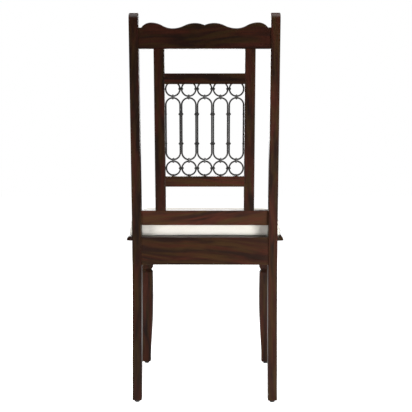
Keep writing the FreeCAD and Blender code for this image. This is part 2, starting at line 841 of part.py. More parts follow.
def make_cushion():
    """Boxed cushion: rounded lower edge, upright drawn-in sides, rounded shoulder and a domed top."""
    base = board_top + cushion_gap
    shoulder = base + cushion_edge_height
    crown = shoulder + cushion_crown
    levels = [(cushion_low_inset, base), (0.0, base + cushion_low_height),
              (cushion_side_inset, shoulder - cushion_shoulder_drop), (cushion_shoulder_inset, shoulder),
              (cushion_cap_inset, crown + cushion_gap)]
    sides, knuckles = cushion_circles()
    body = Part.makeLoft([cushion_section(sides, knuckles, inset, z) for inset, z in levels], True, True)
    middle_y = (board_front_y - post_depth) / 2.0
    dome_radius = (board_rear_half ** 2 + cushion_crown ** 2) / (2.0 * cushion_crown)
    dome = Part.makeSphere(dome_radius, V(0, middle_y, crown - dome_radius), V(0, 1, 0))
    return body.common(dome)


def build():
    """Every node by name, in the building frame."""
    nodes = {}
    bars, collars = make_grille()
    pins = grille_pins()
    housing = box(-stile_inner_x, stile_inner_x, -bar_depth / 2.0 - ring_seat_gap,
                  bar_depth / 2.0 + ring_seat_gap, upper_mid_base, upper_mid_base + ring_housing)
    for name, bar in bars.items():
        nodes[name] = raked(bar.cut(pins))
    for name, beads in collars.items():
        nodes[name] = raked(beads)
    nodes["grille_pins"] = raked(pins)
    nodes["crest_rail"] = raked(make_crest_rail())
    nodes["lower_back_rail"] = raked(make_low_rail())
    nodes["lower_mid_rail"] = raked(make_mid_rail(lower_mid_base).cut(pins))
    nodes["upper_mid_rail"] = raked(make_mid_rail(upper_mid_base).cut(housing))
    nodes["back_stile_left"] = raked(make_stile(1).cut(pins))
    nodes["back_stile_right"] = raked(make_stile(-1).cut(pins))

    level_screws = block_screws()
    upright_screws = seat_screws()
    level_screws += [mirrored(item) for item in level_screws]
    upright_screws += [mirrored(item) for item in upright_screws]
    rail_screws = cleat_screws()
    fixings = Part.makeCompound(level_screws + upright_screws + rail_screws)
    nodes["corner_block_screws"] = Part.makeCompound(level_screws)
    nodes["seat_board_screws"] = Part.makeCompound(upright_screws)
    nodes["cleat_screws"] = Part.makeCompound(rail_screws)

    nodes["rear_apron"] = make_rear_apron(fixings)
    nodes["front_apron"] = make_front_apron(fixings)
    nodes["seat_board"] = make_seat_board(fixings)
    nodes["rear_cleat"] = make_cleat(fixings)
    left = {
        "rear_post": make_rear_post(),
        "front_leg": make_front_leg(fixings),
        "side_apron": make_side_apron(fixings),
        "corner_block_front": block_solid(front_block_corners()).cut(fixings),
        "corner_block_rear": block_solid(rear_block_corners()).cut(fixings),
    }
    for name, shape in left.items():
        nodes[name + "_left"] = shape
        nodes[name + "_right"] = mirrored(shape)
    nodes["rear_glides"] = glide_pair(post_x, rear_foot_y())
    nodes["front_glides"] = glide_pair(front_x, -leg_reach)
    nodes["seat_cushion"] = make_cushion()
    return nodes


def centred(nodes):
    """Move everything so that the origin is under the middle of the object's box."""
    whole = FreeCAD.BoundBox()
    for shape in nodes.values():
        whole.add(shape.BoundBox)
    shift = V(-whole.Center.x, -whole.Center.y, -whole.ZMin)
    for shape in nodes.values():
        shape.translate(shift)
    return shift


def main():
    os.makedirs("parts", exist_ok=True)
    nodes = build()
    shift = centred(nodes)
    print("moved by %.3f %.3f %.3f" % (shift.x, shift.y, shift.z))
    for name in sorted(nodes):
        nodes[name].exportStep("parts/%s.step" % name)
    print("%d nodes" % len(nodes))


main()
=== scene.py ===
import math

import bpy
import numpy as np
from mathutils import Matrix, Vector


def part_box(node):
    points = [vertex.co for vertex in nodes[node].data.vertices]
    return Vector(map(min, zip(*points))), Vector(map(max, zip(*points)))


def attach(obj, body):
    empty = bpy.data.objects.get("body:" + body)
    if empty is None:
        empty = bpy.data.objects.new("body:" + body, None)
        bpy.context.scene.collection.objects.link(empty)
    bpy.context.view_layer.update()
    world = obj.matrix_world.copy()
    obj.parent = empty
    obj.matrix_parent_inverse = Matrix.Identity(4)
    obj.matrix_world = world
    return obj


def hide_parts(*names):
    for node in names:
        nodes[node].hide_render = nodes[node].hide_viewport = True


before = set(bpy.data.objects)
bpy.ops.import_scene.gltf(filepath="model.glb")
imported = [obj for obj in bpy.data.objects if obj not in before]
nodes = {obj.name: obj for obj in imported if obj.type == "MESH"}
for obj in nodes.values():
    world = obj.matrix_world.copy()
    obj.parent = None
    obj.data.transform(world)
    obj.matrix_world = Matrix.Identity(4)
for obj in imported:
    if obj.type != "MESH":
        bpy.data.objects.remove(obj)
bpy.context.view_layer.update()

scene = bpy.context.scene
print("frame loaded, nodes:", len(nodes))

# camera, found from the photograph
cameraSetup = {
    "place": (-0.0216, 2.2364, 0.6496),   # metres, behind the chair
    "yaw": 0.00892,        # radians, turn to the sitter's left
    "pitch": 0.05154,      # radians, down
    "focalPixels": 746.39, # at a width of 412
    "width": 412,
}


def makeCamera(setup):
    # the view looks along -Y, turned by yaw about Z and lowered by pitch
    yaw, pitch = setup["yaw"], setup["pitch"]
    level = math.cos(pitch)
    forward = np.array([math.sin(yaw) * level, -math.cos(yaw) * level, -math.sin(pitch)])
    right = np.array([-math.cos(yaw), -math.sin(yaw), 0.0])
    up = np.cross(right, forward)
    data = bpy.data.cameras.new("photoCamera")
    data.sensor_width = 36.0
    data.lens = data.sensor_width * setup["focalPixels"] / setup["width"]
    data.clip_start, data.clip_end = 0.05, 60.0
    camera = bpy.data.objects.new("photoCamera", data)
    turn = np.eye(4)
    turn[:3, 0], turn[:3, 1], turn[:3, 2], turn[:3, 3] = right, up, -forward, setup["place"]
    camera.matrix_world = Matrix(turn.tolist())
    scene.collection.objects.link(camera)
    scene.camera = camera


makeCamera(cameraSetup)
print("camera set")


# node helpers
def newMaterial(name):
    material = bpy.data.materials.new(name)
    material.use_nodes = True
    tree = material.node_tree
    shader = tree.nodes["Principled BSDF"]
    return material, tree, shader


def newGroup(name, inputs, outputs):
    # a shader node group with named sockets; each entry is (name, kind, default)
    group = bpy.data.node_groups.new(name, "ShaderNodeTree")
    for label, kind, default in inputs:
        socket = group.interface.new_socket(label, in_out="INPUT", socket_type="NodeSocket" + kind)
        if default is not None:
            socket.default_value = default
    for label, kind in outputs:
        group.interface.new_socket(label, in_out="OUTPUT", socket_type="NodeSocket" + kind)
    start = group.nodes.new("NodeGroupInput")
    end = group.nodes.new("NodeGroupOutput")
    return group, start, end


def addNode(tree, kind, **settings):
    node = tree.nodes.new("ShaderNode" + kind)
    for key, value in settings.items():
        setattr(node, key, value)
    return node


def wire(tree, source, target):
    tree.links.new(source, target)


def calc(tree, operation, first, second=None, third=None):
    # one Math node; numbers go on its sockets, sockets are linked
    node = addNode(tree, "Math", operation=operation)
    for index, value in enumerate((first, second, third)):
        if value is None:
            continue
        if isinstance(value, (int, float)):
            node.inputs[index].default_value = value
        else:
            wire(tree, value, node.inputs[index])
    return node.outputs[0]


def spread(tree, value, low, high, outLow=0.0, outHigh=1.0):
    # straight-line change of range, clamped
    node = addNode(tree, "MapRange", clamp=True)
    wire(tree, value, node.inputs["Value"])
    for label, number in (("From Min", low), ("From Max", high), ("To Min", outLow), ("To Max", outHigh)):
        node.inputs[label].default_value = number
    return node.outputs["Result"]


def blendColor(tree, factor, first, second):
    node = addNode(tree, "Mix", data_type="RGBA")
    for socket, value in ((node.inputs[0], factor), (node.inputs[6], first), (node.inputs[7], second)):
        if isinstance(value, (tuple, list)):
            socket.default_value = (*value, 1.0)
        elif isinstance(value, (int, float)):
            socket.default_value = value
        else:
            wire(tree, value, socket)
    return node.outputs[2]


def noise(tree, vector, scale, detail=4.0, roughness=0.55, distortion=0.0):
    node = addNode(tree, "TexNoise")
    wire(tree, vector, node.inputs["Vector"])
    node.inputs["Scale"].default_value = scale
    node.inputs["Detail"].default_value = detail
    node.inputs["Roughness"].default_value = roughness
    node.inputs["Distortion"].default_value = distortion
    return node.outputs["Fac"]


# wood grain shared by every wooden piece, drawn out along Z: flame bands, softer tones, streaks and pores
grainSizes = {
    # size across the grain, higher is finer, and the share of it that holds along the grain
    "bands": (48.0, 0.10),
    "tones": (95.0, 0.08),
    "streaks": (260.0, 0.035),
    "pores": (1100.0, 0.02),
    "wander": 5.0,         # size of the slow bends of every streak
    "wanderBy": 0.030,     # metres
}


def makeGrainGroup(sizes):
    group, start, end = newGroup("woodGrain", [
        ("Vector", "Vector", None), ("Dark", "Color", (0.02, 0.01, 0.008, 1)),
        ("Red", "Color", (0.07, 0.018, 0.010, 1)), ("Olive", "Color", (0.05, 0.025, 0.010, 1))],
        [("Color", "Color"), ("Rough", "Float"), ("Height", "Float")])
    warp = addNode(group, "TexNoise")
    wire(group, start.outputs["Vector"], warp.inputs["Vector"])
    warp.inputs["Scale"].default_value = sizes["wander"]
    warp.inputs["Detail"].default_value = 1.0
    sway = addNode(group, "VectorMath", operation="MULTIPLY_ADD")
    wire(group, warp.outputs["Color"], sway.inputs[0])
    sway.inputs[1].default_value = (sizes["wanderBy"], sizes["wanderBy"], 0.0)
    wire(group, start.outputs["Vector"], sway.inputs[2])

    def layer(kind, detail, roughness, distortion):
        scale, along = sizes[kind]
        node = addNode(group, "VectorMath", operation="MULTIPLY")
        wire(group, sway.outputs[0], node.inputs[0])
        node.inputs[1].default_value = (1.0, 1.0, along)
        return noise(group, node.outputs[0], scale, detail, roughness, distortion)
    bands = layer("bands", 3.0, 0.55, 0.5)
    tones = layer("tones", 3.0, 0.55, 0.3)
    streaks = layer("streaks", 4.0, 0.6, 0.2)
    pores = layer("pores", 2.0, 0.6, 0.0)
    redMask = spread(group, bands, 0.40, 0.62)
    oliveMask = spread(group, tones, 0.46, 0.64)
    lineMask = spread(group, streaks, 0.30, 0.62)
    color = blendColor(group, redMask, start.outputs["Dark"], start.outputs["Red"])
    color = blendColor(group, calc(group, "MULTIPLY", oliveMask, 0.8), color, start.outputs["Olive"])
    lines = calc(group, "MULTIPLY", calc(group, "SUBTRACT", 1.0, lineMask), 0.42)
    color = blendColor(group, lines, color, start.outputs["Dark"])
    poreMask = spread(group, pores, 0.60, 0.74)
    color = blendColor(group, calc(group, "MULTIPLY", poreMask, 0.4), color, (0.006, 0.003, 0.002))
    wire(group, color, end.inputs["Color"])
    sheen = spread(group, streaks, 0.2, 0.8, 0.26, 0.38)
    wire(group, calc(group, "ADD", calc(group, "MULTIPLY", poreMask, 0.18), sheen), end.inputs["Rough"])
    relief = calc(group, "SUBTRACT", calc(group, "MULTIPLY", streaks, 0.35), poreMask)
    wire(group, relief, end.inputs["Height"])
    return group


# lighter colour where an edge turns, partly real wear and partly a painted highlight: the bevelled normal
# leaves the true one there
def makeEdgeGroup():
    group, start, end = newGroup("edgeWearAndHighlight", [("Radius", "Float", 0.002), ("Breakup", "Float", 60.0)],
                                 [("Mask", "Float")])
    bevel = addNode(group, "Bevel", samples=6)
    wire(group, start.outputs["Radius"], bevel.inputs["Radius"])
    geometry = addNode(group, "NewGeometry")
    dot = addNode(group, "VectorMath", operation="DOT_PRODUCT")
    wire(group, bevel.outputs["Normal"], dot.inputs[0])
    wire(group, geometry.outputs["Normal"], dot.inputs[1])
    place = addNode(group, "TexCoord")
    speckle = addNode(group, "TexNoise")
    wire(group, place.outputs["Object"], speckle.inputs["Vector"])
    wire(group, start.outputs["Breakup"], speckle.inputs["Scale"])
    speckle.inputs["Detail"].default_value = 3.0
    turned = spread(group, dot.outputs["Value"], 0.995, 0.86)
    wire(group, calc(group, "MULTIPLY", turned, spread(group, speckle.outputs["Fac"], 0.35, 0.65)),
         end.inputs["Mask"])
    return group


grainGroup = makeGrainGroup(grainSizes)
edgeGroup = makeEdgeGroup()


def placeGroup(tree, group, **values):
    node = addNode(tree, "Group", node_tree=group)
    for label, value in values.items():
        if isinstance(value, (tuple, list)):
            node.inputs[label].default_value = (*value, 1.0) if len(value) == 3 else value
        elif isinstance(value, (int, float)):
            node.inputs[label].default_value = value
        else:
            wire(tree, value, node.inputs[label])
    return node


# dark hardwood under a satin stain that reads red, olive and near black by turns
woodLook = {
    "dark": (0.0125, 0.0055, 0.0036),
    "red": (0.0430, 0.0112, 0.0058),
    "olive": (0.0340, 0.0176, 0.0054),
    # lighter colour on turned edges: partly real wear, partly a painted highlight
    "edge": (0.085, 0.040, 0.022),
    "edgeRadius": 0.0016,
    "edgeBreakup": 45.0,   # how finely the worn edges are broken up
    "edgeWearHighlightShare": 0.18,
    "bump": 0.12,
    "bumpDepth": 0.0004,
    "gloss": 0.12,
}
grainTurns = {"z": (0.0, 0.0, 0.0), "x": (0.0, math.pi / 2, 0.0), "y": (math.pi / 2, 0.0, 0.0)}
tiltAxis = {"z": 1, "x": 1, "y": 0}


def makeWood(name, along, offset, toneAndPaintedLight, tilt, look=woodLook):
    material, tree, shader = newMaterial(name)
    place = addNode(tree, "TexCoord")
    mapping = addNode(tree, "Mapping")
    turn = list(grainTurns[along])
    turn[tiltAxis[along]] += math.radians(tilt)
    mapping.inputs["Rotation"].default_value = turn
    mapping.inputs["Location"].default_value = offset
    wire(tree, place.outputs["Object"], mapping.inputs["Vector"])
    # every tone of the piece is scaled by its lightness: partly its own tone, partly painted light and
    # shade
    tones = [tuple(channel * toneAndPaintedLight for channel in look[key]) for key in ("dark", "red", "olive")]
    dark, red, olive = tones
    vector = mapping.outputs["Vector"]
    grain = placeGroup(tree, grainGroup, Vector=vector, Dark=dark, Red=red, Olive=olive)
    edge = placeGroup(tree, edgeGroup, Radius=look["edgeRadius"], Breakup=look["edgeBreakup"])
    # the edges take the lighter edge colour: partly wear, partly painted highlight
    wearAndHighlight = calc(tree, "MULTIPLY", edge.outputs["Mask"], look["edgeWearHighlightShare"])
    wire(tree, blendColor(tree, wearAndHighlight, grain.outputs["Color"], look["edge"]), shader.inputs["Base Color"])
    wire(tree, grain.outputs["Rough"], shader.inputs["Roughness"])
    bump = addNode(tree, "Bump")
    bump.inputs["Strength"].default_value = look["bump"]
    bump.inputs["Distance"].default_value = look["bumpDepth"]
    wire(tree, grain.outputs["Height"], bump.inputs["Height"])
    wire(tree, bump.outputs["Normal"], shader.inputs["Normal"])
    shader.inputs["Specular IOR Level"].default_value = look["gloss"]
    return material


# black wrought iron, faintly hammered, browner and lighter along its edges: partly real rubbing, partly a
# painted highlight
ironLook = {
    "base": (0.010, 0.0095, 0.0095), "brown": (0.018, 0.015, 0.013), "rubbedAndHighlight": (0.055, 0.045, 0.038),
    "edgeRadius": 0.0008, "edgeBreakup": 120.0, "edgeWearHighlightShare": 0.6,
    "rough": (0.38, 0.60), "bump": 0.15, "bumpDepth": 0.0004, "gloss": 0.35,
}


def makeIron(look):
    material, tree, shader = newMaterial("grilleIron")
    place = addNode(tree, "TexCoord")
    dents = noise(tree, place.outputs["Object"], 260.0, 3.0, 0.5)
    clouds = noise(tree, place.outputs["Object"], 35.0, 3.0, 0.6)
    edge = placeGroup(tree, edgeGroup, Radius=look["edgeRadius"], Breakup=look["edgeBreakup"])
    base = blendColor(tree, spread(tree, clouds, 0.4, 0.7), look["base"], look["brown"])
    # lighter edges: partly rubbed, partly a painted highlight
    wearAndHighlight = calc(tree, "MULTIPLY", edge.outputs["Mask"], look["edgeWearHighlightShare"])
    wire(tree, blendColor(tree, wearAndHighlight, base, look["rubbedAndHighlight"]), shader.inputs["Base Color"])
    wire(tree, spread(tree, clouds, 0.3, 0.7, *look["rough"]), shader.inputs["Roughness"])
    shader.inputs["Specular IOR Level"].default_value = look["gloss"]
    bump = addNode(tree, "Bump")
    bump.inputs["Strength"].default_value = look["bump"]
    bump.inputs["Distance"].default_value = look["bumpDepth"]
    wire(tree, dents, bump.inputs["Height"])
    wire(tree, bump.outputs["Normal"], shader.inputs["Normal"])
    return material


# moulded black nylon with a fine even grain, greyer where it is scuffed
nylonLook = {
    "base": (0.010, 0.010, 0.010), "scuffed": (0.035, 0.034, 0.033),
    "rough": (0.42, 0.62), "bump": 0.15, "bumpDepth": 0.0002,
}


def makeNylon(look):
    material, tree, shader = newMaterial("glideNylon")
    place = addNode(tree, "TexCoord")
    fine = noise(tree, place.outputs["Object"], 1500.0, 2.0, 0.5)
    scuffs = noise(tree, place.outputs["Object"], 180.0, 4.0, 0.7)
    wire(tree, blendColor(tree, spread(tree, scuffs, 0.5, 0.75), look["base"], look["scuffed"]),
         shader.inputs["Base Color"])
    wire(tree, spread(tree, scuffs, 0.3, 0.7, *look["rough"]), shader.inputs["Roughness"])
    bump = addNode(tree, "Bump")
    bump.inputs["Strength"].default_value = look["bump"]
    bump.inputs["Distance"].default_value = look["bumpDepth"]
    wire(tree, fine, bump.inputs["Height"])
    wire(tree, bump.outputs["Normal"], shader.inputs["Normal"])
    return material


# zinc-plated screws with fine drawn lines
steelLook = {"dull": (0.36, 0.35, 0.33), "bright": (0.58, 0.57, 0.55), "rough": (0.28, 0.46)}


def makeSteel(look):
    material, tree, shader = newMaterial("fixingSteel")
    place = addNode(tree, "TexCoord")
    lines = addNode(tree, "VectorMath", operation="MULTIPLY")
    wire(tree, place.outputs["Object"], lines.inputs[0])
    lines.inputs[1].default_value = (1.0, 1.0, 12.0)
    brushed = noise(tree, lines.outputs[0], 220.0, 3.0, 0.6)
    wire(tree, blendColor(tree, spread(tree, brushed, 0.3, 0.7), look["dull"], look["bright"]),
         shader.inputs["Base Color"])
    wire(tree, spread(tree, brushed, 0.3, 0.7, *look["rough"]), shader.inputs["Roughness"])
    shader.inputs["Metallic"].default_value = 1.0
    return material


# cream cotton cloth: two crossing sets of threads on object coordinates, slubs and soft unevenness
def makeWeaveGroup():
    group, start, end = newGroup("clothWeave", [
        ("Vector", "Vector", None), ("Threads", "Float", 1500.0),
        ("Thread Color", "Color", (0.8, 0.78, 0.72, 1)), ("Gap Color", "Color", (0.6, 0.57, 0.5, 1))],
        [("Color", "Color"), ("Height", "Float")])
    parts = addNode(group, "SeparateXYZ")
    wire(group, start.outputs["Vector"], parts.inputs[0])
    wobble = noise(group, start.outputs["Vector"], 70.0, 3.0, 0.5)
    shift = calc(group, "MULTIPLY", wobble, 5.0)

    def threadSet(axis):
        # cosine of place times the thread count, shifted a little by noise
        phase = calc(group, "ADD", calc(group, "MULTIPLY", axis, start.outputs["Threads"]), shift)
        return calc(group, "ADD", calc(group, "MULTIPLY", calc(group, "COSINE", phase), 0.5), 0.5)
    across = threadSet(calc(group, "ADD", parts.outputs["X"], parts.outputs["Z"]))
    along = threadSet(calc(group, "SUBTRACT", parts.outputs["Y"], parts.outputs["Z"]))
    over = calc(group, "MAXIMUM", calc(group, "MULTIPLY", across, calc(group, "SUBTRACT", 1.0, along)),
                calc(group, "MULTIPLY", along, calc(group, "SUBTRACT", 1.0, across)))
    slubs = noise(group, start.outputs["Vector"], 420.0, 3.0, 0.6)
    soft = noise(group, start.outputs["Vector"], 16.0, 2.0, 0.5)
    tone = calc(group, "ADD", calc(group, "MULTIPLY", over, 0.6), calc(group, "MULTIPLY", slubs, 0.5))
    color = blendColor(group, tone, start.outputs["Gap Color"], start.outputs["Thread Color"])
    warm = blendColor(group, spread(group, soft, 0.35, 0.7, 0.0, 0.18), color, (0.66, 0.61, 0.52))
    wire(group, warm, end.inputs["Color"])
    wire(group, calc(group, "ADD", calc(group, "MULTIPLY", over, 0.6), calc(group, "MULTIPLY", slubs, 0.4)),
         end.inputs["Height"])
    return group


weaveGroup = makeWeaveGroup()
clothLook = {
    "thread": (0.72, 0.695, 0.64), "gap": (0.57, 0.545, 0.485),
    "threadCount": 2600.0, # radians of thread per metre
    "bump": 0.25, "bumpDepth": 0.0006, "rough": 0.9,
    "sheen": 0.25, "sheenRough": 0.5,
}


def makeCloth(name, look):
    material, tree, shader = newMaterial(name)
    place = addNode(tree, "TexCoord")
    weave = placeGroup(tree, weaveGroup, Vector=place.outputs["Object"], Threads=look["threadCount"])
    weave.inputs["Thread Color"].default_value = (*look["thread"], 1.0)
    weave.inputs["Gap Color"].default_value = (*look["gap"], 1.0)
    wire(tree, weave.outputs["Color"], shader.inputs["Base Color"])
    bump = addNode(tree, "Bump")
    bump.inputs["Strength"].default_value = look["bump"]
    bump.inputs["Distance"].default_value = look["bumpDepth"]
    wire(tree, weave.outputs["Height"], bump.inputs["Height"])
    wire(tree, bump.outputs["Normal"], shader.inputs["Normal"])
    shader.inputs["Roughness"].default_value = look["rough"]
    shader.inputs["Sheen Weight"].default_value = look["sheen"]
    shader.inputs["Sheen Roughness"].default_value = look["sheenRough"]
    return material


cushionCloth = makeCloth("cushionCloth", clothLook)
ironMaterial = makeIron(ironLook)
nylonMaterial = makeNylon(nylonLook)
steelMaterial = makeSteel(steelLook)

# every wooden node: the way its grain runs, its place in the tree, how light it is, degrees of run-out. How
# light it is is partly the piece's own tone and partly painted light: the low pieces and those on the
# chair's right are lighter, the top ones darker, after how the light falls on them
woodPieces = {
    "rear_post_left": ("z", (0.31, 0.12, 0.0), 0.72, 2),
    "rear_post_right": ("z", (-0.42, 0.55, 0.4), 0.98, -2),
    "crest_rail": ("x", (0.7, 0.2, 0.1), 0.72, -4),
    "back_stile_left": ("z", (1.3, 0.4, 0.9), 0.64, 2),
    "back_stile_right": ("z", (1.9, -0.3, 0.2), 0.85, -3),
    "upper_mid_rail": ("x", (2.2, 0.9, 0.5), 0.74, 2),
    "lower_mid_rail": ("x", (2.9, -0.7, 1.1), 1.10, 3),
    "lower_back_rail": ("x", (3.4, 0.1, 1.7), 1.3, -9),
    "rear_apron": ("x", (4.2, 0.8, 0.3), 1.0, 5),
    "front_apron": ("x", (4.9, 0.35, 2.1), 1.0, -3),
    "side_apron_left": ("y", (5.3, 1.1, 0.7), 0.95, 3),
    "side_apron_right": ("y", (5.9, 1.6, 0.2), 1.05, -2),
    "front_leg_left": ("z", (6.1, 2.2, 1.3), 1.08, 1),
    "front_leg_right": ("z", (6.6, 2.7, 0.6), 1.15, -2),
    "seat_board": ("x", (7.3, 3.1, 0.8), 0.9, 2),
}
innerPieces = {
    "rear_cleat": ("x", (8.1, 0.3, 0.4), 1.0, 0),
    "corner_block_front_left": ("x", (8.6, 0.9, 0.1), 0.95, 4),
    "corner_block_front_right": ("x", (9.1, 1.4, 0.5), 1.1, -3),
    "corner_block_rear_left": ("x", (9.5, 2.0, 0.9), 1.0, 2),
    "corner_block_rear_right": ("x", (10.0, 2.6, 0.2), 0.9, -5),
}
innerLook = dict(woodLook, dark=(0.035, 0.020, 0.013), red=(0.085, 0.045, 0.028), olive=(0.14, 0.085, 0.05))


def dressNode(name, material):
    mesh = nodes[name].data
    mesh.materials.clear()
    mesh.materials.append(material)


for name, choice in woodPieces.items():
    dressNode(name, makeWood("wood_" + name, *choice))
for name, choice in innerPieces.items():
    dressNode(name, makeWood("wood_" + name, *choice, look=innerLook))
for name in nodes:
    if "grille" in name or "collars" in name:
        dressNode(name, ironMaterial)
    elif "screws" in name:
        dressNode(name, steelMaterial)
    elif "glides" in name:
        dressNode(name, nylonMaterial)
print("materials placed")


# seat cushion
cushionLow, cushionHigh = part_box("seat_cushion")
cushion = {
    "rearHalf": 0.2180, "frontHalf": 0.2295,     # half widths at its rear and front edge
    "cornerPower": 14.0,   # higher is squarer in plan
    "drawIn": 0.014,       # share by which the sides pull in between the corners
    "lowRound": 0.004, "highRound": 0.011,       # radius of its lower edge and of its shoulder
    "bow": 0.0005,         # how far the sides stand out at half height
    "crown": 0.007,
    "shrink": 0.002,       # starts smaller by this, the pressure fills it out
    "voxel": 0.005,
    "pressure": 4.0,
    "stiffness": 40.0,
    "mass": 0.3,
    "frames": 20,
    "heldHeight": 0.004,   # the cloth is held where it rests on the board, up to this height
    "cap": 0.006,          # no point moves further than this
    "rearLimit": 0.0015,   # its rear face stays this far inside its own space
    "around": 480,         # points round the first shape
}


def gridMesh(name, points, endsJoined=False):
    # quads between neighbouring points of a (rows, columns, 3) grid that closes round its columns;
    # its two end rows are joined to each other, or closed by a fan each
    rows, columns = points.shape[:2]
    row = np.arange(rows if endsJoined else rows - 1)[:, None]
    column = np.arange(columns)[None, :]
    nextRow, nextColumn = (row + 1) % rows, (column + 1) % columns
    quads = np.stack([row * columns + column, row * columns + nextColumn,
                      nextRow * columns + nextColumn, nextRow * columns + column], axis=-1)
    vertices = points.reshape(-1, 3)
    faces = quads.reshape(-1, 4).tolist()
    if not endsJoined:
        low, high = len(vertices), len(vertices) + 1
        vertices = np.vstack([vertices, points[0].mean(0), points[-1].mean(0)])
        around = np.arange(columns)
        turned = (around + 1) % columns
        faces += np.stack([turned, around, np.full(columns, low)], axis=1).tolist()
        top = (rows - 1) * columns
        faces += np.stack([top + around, top + turned, np.full(columns, high)], axis=1).tolist()
    mesh = bpy.data.meshes.new(name)
    mesh.from_pydata(vertices.tolist(), [], faces)
    mesh.update()
    return mesh


def cushionOutline(angle, setup, inset):
    # superellipse x^p + y^p = 1 in plan; each side is then drawn in most at its middle,
    # and the width grows in a straight line from the rear half width to the front one
    power = setup["cornerPower"]
    cosine, sine = np.cos(angle), np.sin(angle)
    reach = (np.abs(cosine) ** power + np.abs(sine) ** power) ** (-1.0 / power)
    x, y = reach * cosine, reach * sine
    pull = setup["drawIn"]
    x, y = x * (1 - pull * (1 - y ** 2)), y * (1 - pull * (1 - x ** 2) * 0.6)
    middleY = (cushionLow.y + cushionHigh.y) / 2
    halfY = (cushionHigh.y - cushionLow.y) / 2 - inset
    meanHalf = (setup["rearHalf"] + setup["frontHalf"]) / 2
    growth = (setup["frontHalf"] - setup["rearHalf"]) / 2
    return x * (meanHalf - growth * y - inset), middleY + y * halfY


def cushionShape(setup):
    # profile from the middle of the base round the side to the middle of the top: a flat base,
    # quarter circles for the lower edge and the shoulder, a side that bows out by a parabola,
    # and a top domed by 1 - share^2
    angle = np.linspace(0, 2 * math.pi, setup["around"], endpoint=False)
    low, high = setup["lowRound"], setup["highRound"]
    base = cushionLow.z + setup["shrink"] * 0.3
    top = cushionHigh.z - setup["crown"] - setup["shrink"]
    turn = np.linspace(0, math.pi / 2, 9)
    rise = np.linspace(0, 1, 13)[1:-1]
    lowEdge = np.stack([low * (1 - np.sin(turn)), base + low * (1 - np.cos(turn))], axis=1)
    upright = top - high - base - low
    side = np.stack([-4 * setup["bow"] * rise * (1 - rise), base + low + upright * rise], axis=1)
    highEdge = np.stack([high * (1 - np.cos(turn)), top - high * (1 - np.sin(turn))], axis=1)
    edge = np.vstack([lowEdge, side, highEdge])
    edge[:, 0] = 1 - edge[:, 0] / setup["rearHalf"]
    inner = np.linspace(0.04, 1.0, 24)[:-1]
    bottom = np.stack([inner * edge[0, 0], np.full(len(inner), base)], axis=1)
    dome = np.stack([inner[::-1] * edge[-1, 0], np.full(len(inner), top)], axis=1)
    profile = np.vstack([bottom, edge, dome])
    middle = (base + top) / 2
    upper = np.clip((profile[:, 1] - middle) / (top - middle), 0, 1)
    profile[:, 1] += setup["crown"] * (1 - np.minimum(profile[:, 0], 1) ** 2) * upper
    outlineX, outlineY = cushionOutline(angle, setup, setup["shrink"])
    middleY = (cushionLow.y + cushionHigh.y) / 2
    points = np.empty((len(profile), len(angle), 3))
    points[..., 0] = profile[:, :1] * outlineX
    points[..., 1] = middleY + profile[:, :1] * (outlineY - middleY)
    points[..., 2] = profile[:, 1:2]
    return points


def readPoints(mesh):
    points = np.empty(len(mesh.vertices) * 3)
    mesh.vertices.foreach_get("co", points)
    return points.reshape(-1, 3)


def applyModifiers(piece):
    depsgraph = bpy.context.evaluated_depsgraph_get()
    mesh = bpy.data.meshes.new_from_object(piece.evaluated_get(depsgraph))
    piece.modifiers.clear()
    piece.data = mesh


def fillWithPressure(piece, setup):
    # cloth under inner pressure with its base held; no point moves further than the cap
    before = readPoints(piece.data)
    held = piece.vertex_groups.new(name="held")
    resting = np.nonzero(before[:, 2] < cushionLow.z + setup["heldHeight"])[0]
    held.add(resting.tolist(), 1.0, "REPLACE")
    cloth = piece.modifiers.new("fill", "CLOTH")
    cloth.settings.quality = 5
    cloth.settings.mass = setup["mass"]
    cloth.settings.use_pressure = True
    cloth.settings.uniform_pressure_force = setup["pressure"]
    cloth.settings.vertex_group_mass = "held"
    cloth.settings.effector_weights.gravity = 0.0
    cloth.settings.tension_stiffness = setup["stiffness"]
    cloth.settings.compression_stiffness = setup["stiffness"]
    cloth.point_cache.frame_start, cloth.point_cache.frame_end = 1, setup["frames"]
    for frameNumber in range(1, setup["frames"] + 1):
        scene.frame_set(frameNumber)
    applyModifiers(piece)
    moved = readPoints(piece.data)
    step = moved - before
    length = np.linalg.norm(step, axis=1, keepdims=True)
    moved = before + step * np.minimum(1.0, setup["cap"] / np.maximum(length, 1e-9))
    moved[:, 1] = np.minimum(moved[:, 1], cushionHigh.y - setup["rearLimit"])
    moved[:, 2] = np.minimum(moved[:, 2], cushionHigh.z)
    piece.data.vertices.foreach_set("co", moved.ravel())
    piece.data.update()
    scene.frame_set(1)


def smoothPiece(piece):
    piece.data.polygons.foreach_set("use_smooth", np.ones(len(piece.data.polygons), bool))


def makeCushion(setup):
    piece = bpy.data.objects.new("cushionCover", gridMesh("cushionCover", cushionShape(setup)))
    scene.collection.objects.link(piece)
    remesh = piece.modifiers.new("even", "REMESH")
    remesh.mode = "VOXEL"
    remesh.voxel_size = setup["voxel"]
    applyModifiers(piece)
    fillWithPressure(piece, setup)
    finer = piece.modifiers.new("finer", "SUBSURF")
    finer.levels = finer.render_levels = 1
    applyModifiers(piece)
    smoothPiece(piece)
    piece.data.materials.append(cushionCloth)
    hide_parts("seat_cushion")
    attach(piece, "cushion")
    return piece


cushionCover = makeCushion(cushion)
print("cushion filled, triangles:", 2 * len(cushionCover.data.polygons))

# sewn welts along its upper and lower edge
welt = {
    "radius": 0.0021,
    "sink": 0.0009,        # how far its middle lies inside the cover
    "steps": 480,          # points along it
    "around": 10,          # points round it
    "smoothing": 6,        # rounds of smoothing along it
}


